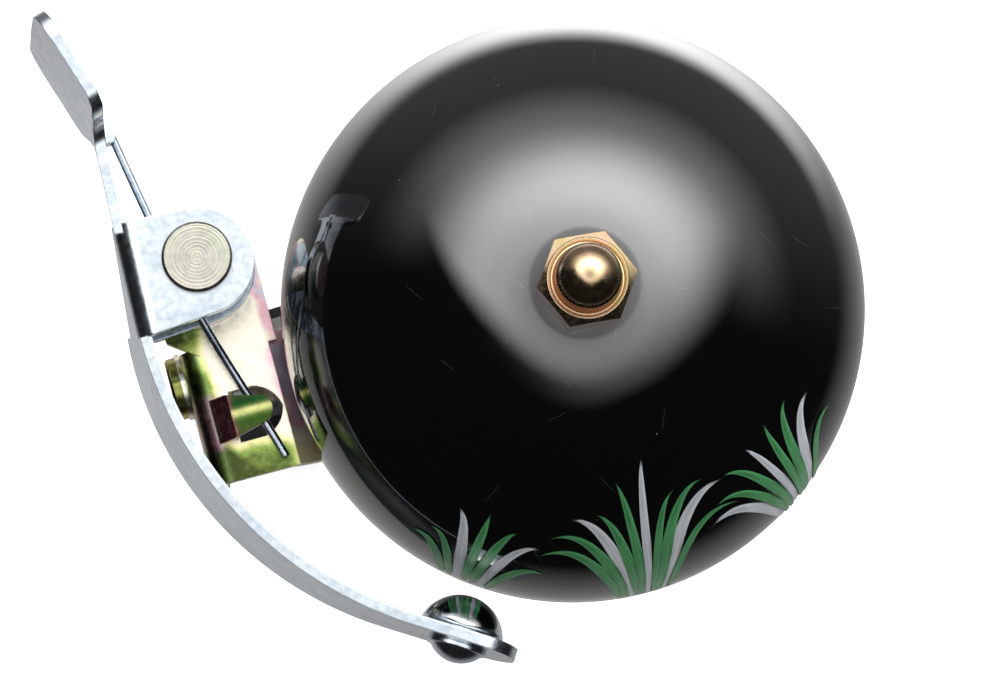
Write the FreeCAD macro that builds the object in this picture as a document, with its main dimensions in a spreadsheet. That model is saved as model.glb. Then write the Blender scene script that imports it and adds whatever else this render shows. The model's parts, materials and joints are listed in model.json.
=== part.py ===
"""Lever-strike bicycle bell, millimetres.

Frame: the origin is at the middle of the handlebar clamp's bore, +Z runs parallel to the
dome's axis up to the cap nut, and the striking lever stands at -X.  The pieces are drawn with
the dome's axis at x = y = 0 and its rim at z = 0, and finish() carries them to the frame.  The
bracket, the clamp and everything bolted to them are drawn turned about Z by bracket_turn.
"""
import FreeCAD, Part
import math
import os
import Sketcher

Vector = FreeCAD.Vector

# ---------------------------------------------------------------- driving dimensions
DIMENSIONS = {
    # dome: a straight skirt, a shoulder arc and a crown arc, with a flat seat on top
    "dome_radius": 27.5,
    "dome_height": 27.0,
    "dome_wall": 1.2,
    "dome_skirt": 3.0,
    "shoulder_radius": 20.0,
    "seat_radius": 4.9,
    "stud_hole": 2.6,
    "edge_break": 0.25,
    # centre post and the nuts on it
    "thread_radius": 2.45,
    "thread_bore": 2.5,
    "thread_chamfer": 0.6,
    "post_radius": 3.5,
    "post_above_seat": 5.0,
    "post_below_arm": 5.6,
    "fibre_washer_radius": 4.7,
    "fibre_washer_height": 1.2,
    "nut_flats": 8.0,
    "cap_hex_height": 4.2,
    "cap_ring_radius": 3.75,
    "cap_neck_radius": 2.86,
    "cap_ball_radius": 2.98,
    "cap_overlap": 0.5,
    "cap_turn": 10.0,
    "cap_height": 9.5,
    "cap_bore_depth": 5.6,
    "lock_nut_height": 4.0,
    "lock_washer_height": 1.2,
    "lock_washer_radius": 4.3,
    "lock_washer_slit": 0.8,
    # bracket, drawn in its own turned frame (u, v) about the dome's axis
    "bracket_turn": 15.0,
    "sheet": 1.6,
    "bend_inside": 0.6,
    "plate_right": 27.6,
    "joggle_start": 28.4,
    "joggle_run": 2.2,
    "joggle_drop": 2.6,
    "flange_face": 36.87,
    "flange_depth": 10.0,
    "corner_round": 2.5,
    "strip_low": 7.35,
    "strip_high": 5.65,
    "arm_end": 6.5,
    "arm_end_round": 5.5,
    "pivot_u": 33.02,
    "pivot_v": 13.04,
    "pivot_pad_radius": 5.3,
    "pivot_pad_waist": 0.6,
    "pivot_pad_foot": 1.2,
    "pivot_pad_overlap": 1.0,
    # lanced tongue that holds the spring wire down
    "tongue_root": 35.0,
    "tongue_tip": 29.6,
    "tongue_v": 1.5,
    "tongue_root_half": 2.1,
    "tongue_tip_half": 1.35,
    "tongue_lift": 1.25,
    "tongue_run": 1.7,
    "tongue_slit": 0.35,
    "tongue_sheet": 1.2,
    "tongue_bury": 0.5,
    "window_end": 28.6,
    # pivot
    "rivet_shank": 1.2,
    "rivet_bore": 1.26,
    "rivet_head_radius": 3.3,
    "rivet_head_height": 0.85,
    "rivet_clench_radius": 2.3,
    "rivet_clench_height": 0.8,
    "rivet_clench_bevel": 0.4,
    "bush_radius": 1.7,
    "pivot_washer_radius": 2.8,
    "pivot_washer_height": 0.4,
    "side_gap": 0.04,
    # lever: one stamped sheet
    "lever_sheet": 1.1,
    "lever_low": 0.45,
    "lever_high": 9.5,
    "strip_margin": 0.42,
    "ear_radius": 5.05,
    "ear_shift_x": 0.27,
    "ear_shift_y": -0.3,
    "ear_high_angle": 101.6,
    "ear_low_angle": 290.0,
    "ear_flank": 9.5,
    "fold_radius": 2.2,
    "web_turn": 14.6,
    "web_near_x": -43.25,
    "web_near_y": 7.0,
    "web_near_flare": 0.1,
    "web_far_x": -40.51,
    "web_far_y": -3.46,
    "web_far_flare": 1.3,
    "web_reach": 14.0,
    "arm_high_radius": 37.82,
    "arm_high_x": -3.91,
    "arm_high_y": 6.07,
    "arm_high_start": 194.6,
    "arm_low_radius": 35.03,
    "arm_low_x": -7.46,
    "arm_low_y": 3.61,
    "arm_low_start": 190.4,
    "arm_end_angle": 253.0,
    "paddle_past_hammer": 5.555,
    "paddle_flat": 0.3,
    "neck_root_x": -42.95,
    "neck_root_y": 6.2,
    "neck_end_x": -44.76,
    "neck_end_y": 14.0,
    "neck_in_angle": 12.3,
    "pad_near_x": -45.3,
    "pad_near_y": 16.9,
    "pad_angle": 122.7,
    "pad_width": 20.0,
    "pad_length": 10.6,
    "pad_corner": 3.0,
    "pad_foot": 0.8,
    "pad_fillet": 2.2,
    "pad_bend_run": 1.2,
    "pad_lean": 0.761,
    "pad_slant": 0.343,
    "neck_length": 16.0,
    # hammer
    "hammer_along": -1.195,
    "hammer_radius": 3.95,
    "hammer_ball_radius": 4.1,
    "hammer_base": 0.55,
    "hammer_bore": 1.3,
    "hammer_shank": 1.25,
    "hammer_bore_depth": 2.0,
    "hammer_head_radius": 2.85,
    "hammer_head_height": 1.75,
    "hammer_flange": 0.45,
    "hammer_step": 0.3,
    "hammer_edge_round": 1.0,
    "hammer_seat_gap": 0.02,
    "hammer_tip_gap": 0.1,
    # spring wire
    "wire_radius": 0.4,
    "wire_bore": 0.46,
    "lug_x": -44.1,
    "lug_y": 16.3,
    "lug_z": 4.9,
    "lug_turn": 8.0,
    "lug_depth": 1.0,
    "lug_root": 0.55,
    "lug_length": 2.5,
    "lug_height": 2.6,
    "lug_round": 0.5,
    # handlebar clamp
    "bar_radius": 11.1,
    "liner_wall": 1.18,
    "band_sheet": 1.0,
    "band_width": 9.0,
    "band_gap": 1.4,
    "bar_depth": 21.0,
    "ear_top": 2.4,
    "liner_lip": 0.95,
    "liner_lip_height": 0.75,
    "liner_angle": 312.0,
    "liner_start": 178.0,
    "liner_skin_gap": 0.02,
    "liner_side_gap": 0.04,
    "clamp_v": 2.95,
    "clamp_screw_depth": 5.7,
    "clamp_thread": 1.95,
    "clamp_thread_bore": 2.0,
    "clamp_hole": 2.15,
    "clamp_washer_radius": 3.2,
    "clamp_washer_height": 0.5,
    "clamp_head_radius": 3.0,
    "clamp_head_height": 1.0,
    "clamp_spring_height": 0.8,
    "clamp_spring_radius": 3.1,
    "clamp_spring_slit": 0.7,
    "clamp_nut_flats": 7.0,
    "clamp_nut_height": 2.2,
    "clamp_tail": 0.6,
    "clamp_tail_bevel": 0.4,
}


class Size:
    """A length as a number, together with the sheet expression that drives it."""

    def __init__(self, value, text):
        self.value = value
        self.text = text

    @staticmethod
    def of(other):
        return other if isinstance(other, Size) else Size(float(other), repr(float(other)))

    def combine(self, other, sign, value):
        return Size(value, "(%s %s %s)" % (self.text, sign, other.text))

    def __add__(self, other):
        other = Size.of(other)
        return self.combine(other, "+", self.value + other.value)

    def __sub__(self, other):
        other = Size.of(other)
        return self.combine(other, "-", self.value - other.value)

    def __mul__(self, other):
        other = Size.of(other)
        return self.combine(other, "*", self.value * other.value)

    def __truediv__(self, other):
        other = Size.of(other)
        return self.combine(other, "/", self.value / other.value)

    def __neg__(self):
        return Size(-self.value, "(0 - %s)" % self.text)

    def root(self):
        return Size(math.sqrt(self.value), "sqrt(%s)" % self.text)

    __radd__ = __add__

    def __rsub__(self, other):
        return Size.of(other) - self

    def __rmul__(self, other):
        return Size.of(other) * self


class Sheet:
    """The driving dimensions, each read as a Size by its alias."""

    def __init__(self, document, dimensions):
        self.cells = document.addObject("Spreadsheet::Sheet", "Sizes")
        for row, (alias, value) in enumerate(dimensions.items(), start=1):
            self.cells.set("A%d" % row, alias)
            self.cells.set("B%d" % row, str(value))
            self.cells.setAlias("B%d" % row, alias)
        document.recompute()

    def __getattr__(self, alias):
        return Size(float(self.cells.get(alias)), "Sizes." + alias)


CUT_CLEAR = 1.0  # how far a cutting outline starts clear of the face it cuts

doc = FreeCAD.newDocument("BicycleBell")
dim = Sheet(doc, DIMENSIONS)
nodes = []

# ---------------------------------------------------------------- derived sizes
# The crown arc is tangent to the shoulder arc, which is tangent to the upright skirt.
shoulder_u = dim.dome_radius - dim.shoulder_radius
dome_rise = dim.dome_height - dim.dome_skirt
crown_radius = (
    (shoulder_u * shoulder_u + dome_rise * dome_rise - dim.shoulder_radius * dim.shoulder_radius)
    / (2 * (dome_rise - dim.shoulder_radius))
)
crown_z = dim.dome_height - crown_radius
seat_z = crown_z + (crown_radius * crown_radius - dim.seat_radius * dim.seat_radius).root()
seat_under_z = seat_z - dim.dome_wall
blend_share = crown_radius / (crown_radius - dim.shoulder_radius)

arm_top_z = -dim.joggle_drop
arm_under_z = arm_top_z - dim.sheet
ear_gap_low = dim.lever_low + dim.lever_sheet
ear_gap_high = dim.lever_high - dim.lever_sheet

flange_in = dim.flange_face - dim.sheet
loop_radius = dim.bar_radius + dim.liner_wall + dim.band_sheet
bar_u = flange_in - loop_radius
far_ear = flange_in - dim.band_sheet - dim.band_gap


# ---------------------------------------------------------------- document helpers
def bind(target, name, size):
    """Drive one property from the sheet."""
    target.setExpression(name, Size.of(size).text)


def finish(node, label, place=None):
    """Name a finished sub-part, carry it from where it is drawn to the frame, and list it."""
    bar_centre = bracket_frame(-bar_u.value, dim.clamp_v.value, -dim.bar_depth.value).Base
    to_frame = FreeCAD.Placement(bar_centre * -1, FreeCAD.Rotation())
    node.Label = label
    node.Placement = to_frame.multiply(place or FreeCAD.Placement())
    nodes.append(node)


def bracket_frame(u=0.0, v=0.0, z=0.0, turn=None):
    """Placement of a piece drawn in the bracket's frame: u to the dome's axis, v across."""
    swing = FreeCAD.Rotation(Vector(0, 0, 1), dim.bracket_turn.value)
    base = swing.multVec(Vector(u, v, z))
    return FreeCAD.Placement(base, swing if turn is None else swing.multiply(turn))


def origin_plane(body, role):
    """One of the body's own origin planes."""
    return [item for item in body.Origin.OriginFeatures if item.Role == role][0]


def minor_arc(start, end, radius, side):
    """Arc from start to end; the centre lies left of the chord when side is +1."""
    chord = end - start
    half = chord.Length / 2
    left = Vector(-chord.y, chord.x, 0).normalize()
    centre = start + chord * 0.5 + left * (side * math.sqrt(max(radius ** 2 - half ** 2, 0.0)))
    middle = centre - left * (side * radius)
    return Part.Arc(start, middle, end)


def draw_loop(sketch, first, steps):
    """Closed outline.  A step is (u, v) for a line or (u, v, radius, side) for an arc."""
    corners = [first] + [step[:2] for step in steps]
    for index, step in enumerate(steps):
        start = Vector(Size.of(corners[index][0]).value, Size.of(corners[index][1]).value, 0)
        end = Vector(Size.of(step[0]).value, Size.of(step[1]).value, 0)
        if len(step) == 2:
            sketch.addGeometry(Part.LineSegment(start, end), False)
        else:
            sketch.addGeometry(minor_arc(start, end, Size.of(step[2]).value, step[3]), False)
    count = len(steps)
    ends = [arc_ends(sketch, index) for index in range(count)]
    for index in range(count):
        following = (index + 1) % count
        join = Sketcher.Constraint("Coincident", index, ends[index][1], following, ends[following][0])
        sketch.addConstraint(join)
    for index in range(count):
        for axis, size in zip(("DistanceX", "DistanceY"), corners[index]):
            fix_point(sketch, axis, index, ends[index][0], Size.of(size))
        if len(steps[index]) == 4:
            radius = Size.of(steps[index][2])
            number = sketch.addConstraint(Sketcher.Constraint("Radius", index, radius.value))
            sketch.setExpression("Constraints[%d]" % number, radius.text)


def arc_ends(sketch, index):
    """Point numbers of a segment's start and end; sketcher arcs always run anticlockwise."""
    shape = sketch.Geometry[index]
    if isinstance(shape, Part.ArcOfCircle) and shape.Circle.Axis.z < 0:
        return (2, 1)
    return (1, 2)


def fix_point(sketch, axis, index, point, size):
    """Hold one coordinate of a point at a size measured from the sketch origin."""
    number = sketch.addConstraint(Sketcher.Constraint(axis, -1, 1, index, point, size.value))
    sketch.setExpression("Constraints[%d]" % number, size.text)


def new_sketch(body, name, role, height=0.0):
    """Sketch on one of the body's origin planes, lifted by height along its normal."""
    sketch = body.newObject("Sketcher::SketchObject", name)
    sketch.AttachmentSupport = (origin_plane(body, role), [""])
    sketch.MapMode = "FlatFace"
    if height:
        sketch.AttachmentOffset = FreeCAD.Placement(Vector(0, 0, height), FreeCAD.Rotation())
    return sketch


def new_body(name):
    return doc.addObject("PartDesign::Body", name)


def add_revolution(body, name, first, steps, angle=360.0):
    """Turned feature about the body's Z axis; the outline is given as (radius, height)."""
    sketch = new_sketch(body, name + "Section", "XZ_Plane")
    draw_loop(sketch, first, steps)
    turned = body.newObject("PartDesign::Revolution", name)
    turned.Profile = sketch
    turned.ReferenceAxis = (sketch, ["V_Axis"])
    turned.Angle = angle
    sketch.Visibility = False
    return turned


def add_pad(body, name, role, first, steps, length, height=0.0, midplane=False, backwards=False):
    """Extruded feature from a closed outline on an origin plane."""
    sketch = new_sketch(body, name + "Outline", role, height)
    draw_loop(sketch, first, steps)
    pad = body.newObject("PartDesign::Pad", name)
    pad.Profile = sketch
    pad.Midplane = midplane
    pad.Reversed = backwards
    bind(pad, "Length", length)
    return pad


def add_pocket(body, name, sketch, depth=None, backwards=False):
    """Cut from a sketch: to one depth, or right through both ways when none is given."""
    pocket = body.newObject("PartDesign::Pocket", name)
    pocket.Profile = sketch
    if depth is None:
        pocket.Type = "ThroughAll"
        pocket.Midplane = True
    else:
        pocket.Type = "Length"
        pocket.Length = depth
        pocket.Reversed = backwards
    return pocket


def add_round_hole(body, name, role, across, along, radius, height=0.0, depth=None):
    """Round hole at (across, along) of an origin plane, lifted by height along its normal."""
    across = Size.of(across)
    along = Size.of(along)
    sketch = new_sketch(body, name + "Circle", role, height)
    centre = Vector(across.value, along.value, 0)
    sketch.addGeometry(Part.Circle(centre, Vector(0, 0, 1), radius.value), False)
    fix_point(sketch, "DistanceX", 0, 3, across)
    fix_point(sketch, "DistanceY", 0, 3, along)
    number = sketch.addConstraint(Sketcher.Constraint("Radius", 0, radius.value))
    sketch.setExpression("Constraints[%d]" % number, radius.text)
    return add_pocket(body, name, sketch, depth, backwards=True)


def turned_part(label, first, steps, place=None, angle=360.0):
    """A whole sub-part made by one revolution."""
    body = new_body(label.title().replace("_", ""))
    add_revolution(body, body.Name + "Turned", first, steps, angle)
    finish(body, label, place)


def tube(label, outer, bore, height, place):
    """Plain ring or bush standing on the XY plane of its placement."""
    steps = [(outer, 0), (outer, height), (bore, height), (bore, 0)]
    turned_part(label, (bore, 0), steps, place)


def cylinder(name, radius, height):
    solid = doc.addObject("Part::Cylinder", name)
    bind(solid, "Radius", radius)
    bind(solid, "Height", height)
    return solid


def boolean(kind, name, base, tool):
    """Part::Cut or Part::Common of two objects."""
    result = doc.addObject(kind, name)
    result.Base = base
    result.Tool = tool
    return result


def chamfered_hexagon(name, flats, ring, height):
    """Hexagon whose top corners are turned off to a ring at thirty degrees."""
    prism = doc.addObject("Part::Prism", name + "Hexagon")
    prism.Polygon = 6
    bind(prism, "Circumradius", flats / Size.of(math.sqrt(3.0)))
    bind(prism, "Height", height)
    cone = doc.addObject("Part::Cone", name + "Chamfer")
    bind(cone, "Radius1", ring + height * math.sqrt(3.0))
    bind(cone, "Radius2", ring)
    bind(cone, "Height", height)
    return boolean("Part::Common", name + "Blank", prism, cone)


def hexagon_nut(label, flats, height, bore, place):
    """Plain nut, chamfered on its outer face."""
    name = label.title().replace("_", "")
    ring = flats / 2 - dim.edge_break
    blank = chamfered_hexagon(name, flats, ring, height)
    drill = cylinder(name + "Bore", bore, height)
    finish(boolean("Part::Cut", name, blank, drill), label, place)


def split_washer(label, outer, bore, height, slit, place):
    """Spring washer: a ring cut through on one side."""
    name = label.title().replace("_", "")
    ring = boolean("Part::Cut", name + "Ring", cylinder(name + "Disc", outer, height),
                   cylinder(name + "Bore", bore, height))
    knife = doc.addObject("Part::Box", name + "Slit")
    bind(knife, "Length", outer * 2)
    bind(knife, "Width", slit)
    bind(knife, "Height", height)
    finish(boolean("Part::Cut", name, ring, knife), label, place)


# ---------------------------------------------------------------- dome, post and nuts
def make_dome():
    """Spun sheet dome with a flat seat round the stud hole."""
    outer_join_u = shoulder_u * blend_share
    outer_join_z = crown_z + (dim.dome_skirt - crown_z) * blend_share
    inner_scale = (crown_radius - dim.dome_wall) / crown_radius
    inner_join_u = outer_join_u * inner_scale
    inner_join_z = crown_z + (outer_join_z - crown_z) * inner_scale
    inner_crown = crown_radius - dim.dome_wall
    inner_seat = (inner_crown * inner_crown - (seat_under_z - crown_z) * (seat_under_z - crown_z)).root()
    inner_rim = dim.dome_radius - dim.dome_wall
    steps = [
        (dim.dome_radius, 0),
        (dim.dome_radius, dim.dome_skirt),
        (outer_join_u, outer_join_z, dim.shoulder_radius, 1),
        (dim.seat_radius, seat_z, crown_radius, 1),
        (dim.stud_hole, seat_z),
        (dim.stud_hole, seat_under_z),
        (inner_seat, seat_under_z),
        (inner_join_u, inner_join_z, inner_crown, -1),
        (inner_rim, dim.dome_skirt, dim.shoulder_radius - dim.dome_wall, -1),
        (inner_rim, 0),
    ]
    turned_part("dome", (inner_rim, 0), steps)


def make_cap_nut():
    """Domed cap nut: chamfered hexagon, short neck and ball end over a blind bore."""
    hexagon = chamfered_hexagon("CapNut", dim.nut_flats, dim.cap_ring_radius, dim.cap_hex_height)
    ball_z = dim.cap_height - dim.cap_ball_radius
    waist = (dim.cap_ball_radius * dim.cap_ball_radius - dim.cap_neck_radius * dim.cap_neck_radius).root()
    foot = dim.cap_hex_height - dim.cap_overlap
    crown = new_body("CapNutCrown")
    steps = [
        (dim.cap_neck_radius, foot),
        (dim.cap_neck_radius, ball_z - waist),
        (dim.cap_ball_radius, ball_z, dim.cap_ball_radius, 1),
        (0, dim.cap_height, dim.cap_ball_radius, 1),
        (0, foot),
    ]
    add_revolution(crown, "CapNutBall", (0, foot), steps)
    solid = doc.addObject("Part::Fuse", "CapNutSolid")
    solid.Base = hexagon
    solid.Tool = crown
    nut = boolean("Part::Cut", "CapNut", solid, cylinder("CapNutBore", dim.thread_bore, dim.cap_bore_depth))
    turn = FreeCAD.Rotation(Vector(0, 0, 1), dim.cap_turn.value)
    place = FreeCAD.Placement(Vector(0, 0, seat_z.value), turn)
    finish(nut, "cap_nut", place)


def make_centre_post():
    """Shouldered post: threaded ends, with the dome on its upper shoulder."""
    shoulder_z = seat_under_z - dim.fibre_washer_height
    top_z = seat_z + dim.post_above_seat
    low_z = arm_under_z - dim.post_below_arm
    steps = [
        (dim.thread_radius, low_z),
        (dim.thread_radius, arm_top_z),
        (dim.post_radius, arm_top_z),
        (dim.post_radius, shoulder_z),
        (dim.thread_radius, shoulder_z),
        (dim.thread_radius, top_z - dim.thread_chamfer),
        (dim.thread_radius - dim.thread_chamfer, top_z),
        (0, top_z),
        (0, low_z),
    ]
    turned_part("centre_post", (0, low_z), steps)
    place = FreeCAD.Placement(Vector(0, 0, shoulder_z.value), FreeCAD.Rotation())
    tube("fibre_washer", dim.fibre_washer_radius, dim.thread_bore, dim.fibre_washer_height, place)


def make_post_fasteners():
    """Spring washer and nut that hold the post under the bracket arm."""
    down = FreeCAD.Rotation(Vector(1, 0, 0), 180)
    under = bracket_frame(z=arm_under_z.value, turn=down)
    lower = bracket_frame(z=(arm_under_z - dim.lock_washer_height).value, turn=down)
    split_washer("post_spring_washer", dim.lock_washer_radius, dim.thread_bore,
                 dim.lock_washer_height, dim.lock_washer_slit, under)
    hexagon_nut("post_nut", dim.nut_flats, dim.lock_nut_height, dim.thread_bore, lower)


# ---------------------------------------------------------------- bracket
def bracket_side_view():
    """Side view (u, z) of the bent strip: flange, plate, joggle and arm, as one outline."""
    face = -dim.flange_face
    inner = -flange_in
    outside = dim.bend_inside + dim.sheet
    fold = -dim.joggle_start
    low = fold + dim.joggle_run
    slant = dim.sheet * 0.45
    steps = [
        (face, -outside),
        (face + outside, 0, outside, -1),
        (fold, 0),
        (low, arm_top_z),
        (dim.arm_end, arm_top_z),
        (dim.arm_end, arm_under_z),
        (low - slant, arm_under_z),
        (fold - slant, -dim.sheet),
        (inner + dim.bend_inside, -dim.sheet),
        (inner, -outside, dim.bend_inside, 1),
        (inner, -dim.flange_depth),
    ]
    return (inner, -dim.flange_depth), [(face, -dim.flange_depth)] + steps


def make_bracket():
    """Stamped bracket: bent strip, pivot pad, window with its lanced tongue, and holes."""
    body = new_body("Bracket")
    first, steps = bracket_side_view()
    width = dim.strip_low + dim.strip_high
    add_pad(body, "BracketStrip", "XZ_Plane", first, steps, width, -dim.strip_high.value)
    add_pivot_pad(body)
    round_edges(body, "FlangeCorners", dim.corner_round,
                lambda box: runs_along_u(box, -dim.flange_depth.value))
    round_edges(body, "ArmEnd", dim.arm_end_round, lambda box: stands_at_u(box, dim.arm_end.value))
    add_window(body)
    add_round_hole(body, "PivotHole", "XY_Plane", -dim.pivot_u, dim.pivot_v, dim.rivet_bore)
    add_round_hole(body, "PostHole", "XY_Plane", 0, 0, dim.thread_bore)
    outside = -dim.flange_face.value - CUT_CLEAR
    add_round_hole(body, "ClampHole", "YZ_Plane", dim.clamp_v, -dim.clamp_screw_depth, dim.clamp_hole,
                   outside, dim.sheet.value + CUT_CLEAR * 2)
    add_tongue(body)
    finish(body, "bracket", bracket_frame())


def add_pivot_pad(body):
    """Round lug of the plate that carries the pivot, with a slight waist at its outer foot."""
    left = -dim.pivot_u - dim.pivot_pad_radius
    buried_v = dim.strip_high - dim.pivot_pad_overlap
    first = (-dim.flange_face + dim.bend_inside + dim.sheet, buried_v)
    steps = [
        (-dim.plate_right, buried_v),
        (-dim.plate_right, dim.pivot_v),
        (-dim.pivot_u, dim.pivot_v + dim.pivot_pad_radius, dim.pivot_pad_radius, 1),
        (left, dim.pivot_v, dim.pivot_pad_radius, 1),
        (left + dim.pivot_pad_waist, dim.strip_high + dim.pivot_pad_foot),
        first,
    ]
    add_pad(body, "PivotPad", "XY_Plane", first, steps, dim.sheet, backwards=True)


def add_window(body):
    """Opening under the tongue: straight sides and a rounded end past the joggle."""
    half = dim.tongue_root_half + dim.tongue_slit
    root = -dim.tongue_root + dim.tongue_run
    curve = half * 1.25
    shoulder = -dim.window_end - curve * 0.75
    sketch = new_sketch(body, "WindowOutline", "XY_Plane", CUT_CLEAR)
    draw_loop(sketch, (root, -dim.tongue_v - half), [
        (shoulder, -dim.tongue_v - half),
        (-dim.window_end, -dim.tongue_v, curve, 1),
        (shoulder, -dim.tongue_v + half, curve, 1),
        (root, -dim.tongue_v + half),
        (root, -dim.tongue_v - half),
    ])
    add_pocket(body, "Window", sketch, dim.sheet.value + CUT_CLEAR * 2)


def round_edges(body, name, radius, chosen):
    """Round the straight edges of the body's newest shape that chosen(box) accepts."""
    doc.recompute()
    base = body.Tip
    picked = []
    for number, edge in enumerate(base.Shape.Edges, start=1):
        if chosen(edge.BoundBox):
            picked.append("Edge%d" % number)
    fillet = body.newObject("PartDesign::Fillet", name)
    fillet.Base = (base, picked)
    bind(fillet, "Radius", radius)
    doc.recompute()


def runs_along_u(box, level):
    """True for a straight edge along u at one height, the thickness of a hanging sheet."""
    return box.XLength > 0.5 and box.YLength < 0.01 and abs(box.ZMin - level) < 0.01


def stands_at_u(box, across):
    """True for an upright edge at one u, the thickness of a level sheet."""
    return box.ZLength > 0.5 and box.YLength < 0.01 and abs(box.XMin - across) < 0.01


def add_tongue(body):
    """Lanced tongue: rises off the plate at its root, runs level over the wire, round tip."""
    root = -dim.tongue_root
    rise = root + dim.tongue_run
    tip = -dim.tongue_tip
    under = dim.tongue_lift
    top = under + dim.tongue_sheet
    buried = (root + dim.tongue_bury, -dim.sheet * 0.5)
    side = [
        (rise, under),
        (tip, under),
        (tip, top),
        (rise - dim.edge_break, top),
        (root - dim.edge_break, 0),
        (root, -dim.sheet * 0.5),
        buried,
    ]
    low_side = (dim.tongue_v - dim.tongue_root_half).value
    add_pad(body, "Tongue", "XZ_Plane", buried, side, dim.tongue_root_half * 2, low_side)
    for sign, name in ((1, "TongueTrimHigh"), (-1, "TongueTrimLow")):
        trim_tongue(body, name, sign)


def trim_tongue(body, name, sign):
    """Taper one side of the tongue and round its tip."""
    rise = -dim.tongue_root + dim.tongue_run
    tip = -dim.tongue_tip
    half = dim.tongue_tip_half
    edge_v = -dim.tongue_v + dim.tongue_root_half * sign
    outside_v = edge_v + CUT_CLEAR * sign
    start = rise - dim.tongue_bury
    corner = [
        (tip + CUT_CLEAR, outside_v),
        (tip + CUT_CLEAR, -dim.tongue_v),
        (tip, -dim.tongue_v),
        (tip - half, -dim.tongue_v + half * sign, half, sign),
        (start, edge_v),
        (start, outside_v),
    ]
    above = (dim.tongue_lift + dim.tongue_sheet).value + CUT_CLEAR
    sketch = new_sketch(body, name + "Outline", "XY_Plane", above)
    draw_loop(sketch, corner[-1], corner)
    add_pocket(body, name, sketch, above - dim.edge_break.value)


# ---------------------------------------------------------------- pivot
def pivot_place(z):
    """Upright placement on the pivot axis at a height."""
    return bracket_frame(-dim.pivot_u.value, dim.pivot_v.value, Size.of(z).value)


def make_pivot():
    """Headed rivet through both ears and the bracket, with its bush and washer."""
    head_z = dim.lever_high + dim.side_gap
    top_z = head_z + dim.rivet_head_height
    low_z = -dim.sheet - dim.rivet_clench_height
    steps = [
        (dim.rivet_clench_radius - dim.rivet_clench_bevel, low_z),
        (dim.rivet_clench_radius, low_z + dim.rivet_clench_bevel),
        (dim.rivet_clench_radius, -dim.sheet),
        (dim.rivet_shank, -dim.sheet),
        (dim.rivet_shank, head_z),
        (dim.rivet_head_radius, head_z),
        (dim.rivet_head_radius, top_z - dim.edge_break),
        (dim.rivet_head_radius - dim.edge_break, top_z),
        (0, top_z),
        (0, low_z),
    ]
    turned_part("pivot_rivet", (0, low_z), steps, pivot_place(0))
    tube("pivot_washer", dim.pivot_washer_radius, dim.rivet_bore, dim.pivot_washer_height, pivot_place(0))
    length = ear_gap_high - ear_gap_low - dim.side_gap * 2
    tube("pivot_bush", dim.bush_radius, dim.rivet_bore, length, pivot_place(ear_gap_low + dim.side_gap))


# ---------------------------------------------------------------- lever
def pivot_point():
    """The pivot axis where it is drawn, at z = 0."""
    return pivot_place(0).Base


def wire_of(points):
    """Closed polygon through the points."""
    return Part.makePolygon(points + [points[0]])


def bounded(edges):
    """Face bounded by connected edges."""
    return Part.Face(Part.Wire(Part.__sortEdges__(edges)))


def polar(centre, radius, degrees, z):
    angle = math.radians(degrees)
    return Vector(centre.x + radius * math.cos(angle), centre.y + radius * math.sin(angle), z)


def arm_plan(centre, radius, start, reach, z):
    """Plan outline of the arm at one height: an arc of strip and its straight end."""
    wall = dim.lever_sheet.value
    last = dim.arm_end_angle.value
    middle = (start + last) / 2
    along = Vector(-math.sin(math.radians(last)), math.cos(math.radians(last)), 0)
    out = [polar(centre, radius, angle, z) for angle in (start, middle, last)]
    inn = [polar(centre, radius - wall, angle, z) for angle in (start, middle, last)]
    edges = [
        Part.Arc(*out).toShape(),
        Part.LineSegment(out[2], out[2] + along * reach).toShape(),
        Part.LineSegment(out[2] + along * reach, inn[2] + along * reach).toShape(),
        Part.LineSegment(inn[2] + along * reach, inn[2]).toShape(),
        Part.Arc(inn[2], inn[1], inn[0]).toShape(),
        Part.LineSegment(inn[0], out[0]).toShape(),
    ]
    return Part.Wire(edges)


def arm_frame():
    """Directions along and out of the arm's straight end."""
    last = math.radians(dim.arm_end_angle.value)
    outward = Vector(math.cos(last), math.sin(last), 0)
    along = Vector(-outward.y, outward.x, 0)
    return along, outward


def make_arm():
    """Curved striking arm; its lower edge flares outward, and its end is a round paddle."""
    low_z = (dim.lever_low + dim.strip_margin).value
    high_z = (dim.lever_high - dim.strip_margin).value
    high_centre = Vector(dim.arm_high_x.value, dim.arm_high_y.value, 0)
    low_centre = Vector(dim.arm_low_x.value, dim.arm_low_y.value, 0)
    high_radius = dim.arm_high_radius.value
    low_radius = dim.arm_low_radius.value
    along, _ = arm_frame()
    tip = (dim.hammer_along + dim.paddle_past_hammer).value
    last = dim.arm_end_angle.value
    high_reach = tip - polar(high_centre, high_radius, last, 0).dot(along)
    low_reach = tip - polar(low_centre, low_radius, last, 0).dot(along)
    high = arm_plan(high_centre, high_radius, dim.arm_high_start.value, high_reach, high_z)
    low = arm_plan(low_centre, low_radius, dim.arm_low_start.value, low_reach, low_z)
    arm = Part.makeLoft([low, high], True, True)
    corners = [edge for edge in arm.Edges if across_sheet(edge) and edge.CenterOfMass.dot(along) > tip - 0.2]
    return arm.makeFillet((high_z - low_z) / 2 - dim.paddle_flat.value, corners)


def across_sheet(edge):
    """True for an edge no longer than the sheet's slanted thickness."""
    return edge.Length < dim.lever_sheet.value * 1.3


def clevis_section(place, flare):
    """Square-cornered channel section on a frame whose x runs towards the ears' round end."""
    wall = dim.lever_sheet.value
    low = dim.lever_low.value
    high = dim.lever_high.value
    reach = dim.web_reach.value
    corners = [
        (reach, high), (0, high), (-flare, low), (reach, low),
        (reach, low + wall), (wall - flare, low + wall), (wall, high - wall), (reach, high - wall),
    ]
    return wire_of([place.multVec(Vector(x, 0, z)) for x, z in corners])


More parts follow.
